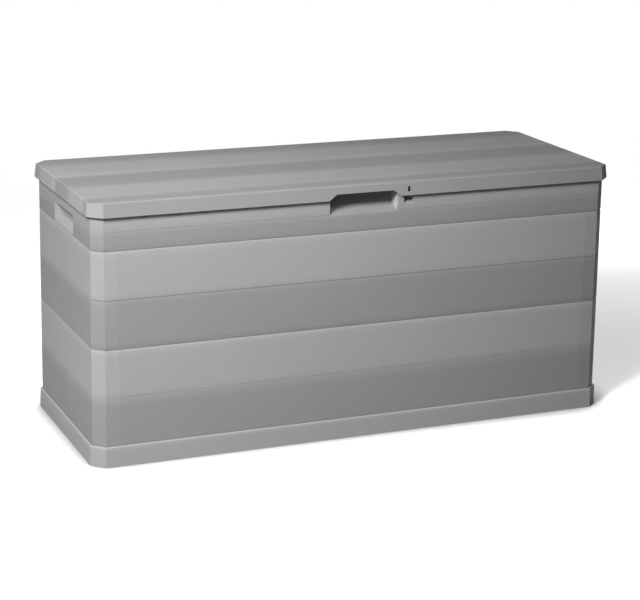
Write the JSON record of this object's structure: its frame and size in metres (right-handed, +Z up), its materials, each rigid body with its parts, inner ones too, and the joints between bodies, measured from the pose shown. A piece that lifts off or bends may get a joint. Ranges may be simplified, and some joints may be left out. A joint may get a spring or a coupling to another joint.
{
  "type": "garden storage box",
  "caption": "Lidded outdoor storage box of planked plastic panels on a base tray, with hand-holds, a finger pull and a padlock slot.",
  "frame": {"origin": "on the ground under the middle of the closed box", "axes": "+X to the right along the length as seen from the front, +Y from the front to the back, +Z up"},
  "size_m": [1.17, 0.45, 0.545],
  "materials": {
    "base_grey": "fine matt grain",
    "panel_grey": "fine matt grain, planks in two close greys",
    "frame_grey": "fine matt grain, two close greys",
    "lid_grey": "fine matt grain, stripes in two close greys",
    "clip_grey": "smooth",
    "pin_grey": "smooth"
  },
  "bodies": {
    "box": {"base_tray": "base_grey", "front_panel": "panel_grey", "rear_panel": "panel_grey", "left_side_panel": "panel_grey", "right_side_panel": "panel_grey", "upper_frame": "frame_grey", "frame_clips_front": "clip_grey", "frame_clips_rear": "clip_grey", "frame_clips_left": "clip_grey", "frame_clips_right": "clip_grey", "base_clips_front": "clip_grey", "base_clips_rear": "clip_grey", "base_clips_left": "clip_grey", "base_clips_right": "clip_grey", "hinge_pin_left": "pin_grey", "hinge_pin_middle": "pin_grey", "hinge_pin_right": "pin_grey"},
    "lid": {"lid": "lid_grey"}
  },
  "joints": [
    {"name": "lid_hinge", "type": "hinge", "parent": "box", "child": "lid", "pos_m": [0, 0.22064, 0.519], "axis": [-1, 0, 0], "range_deg": [0, 105]}
  ]
}
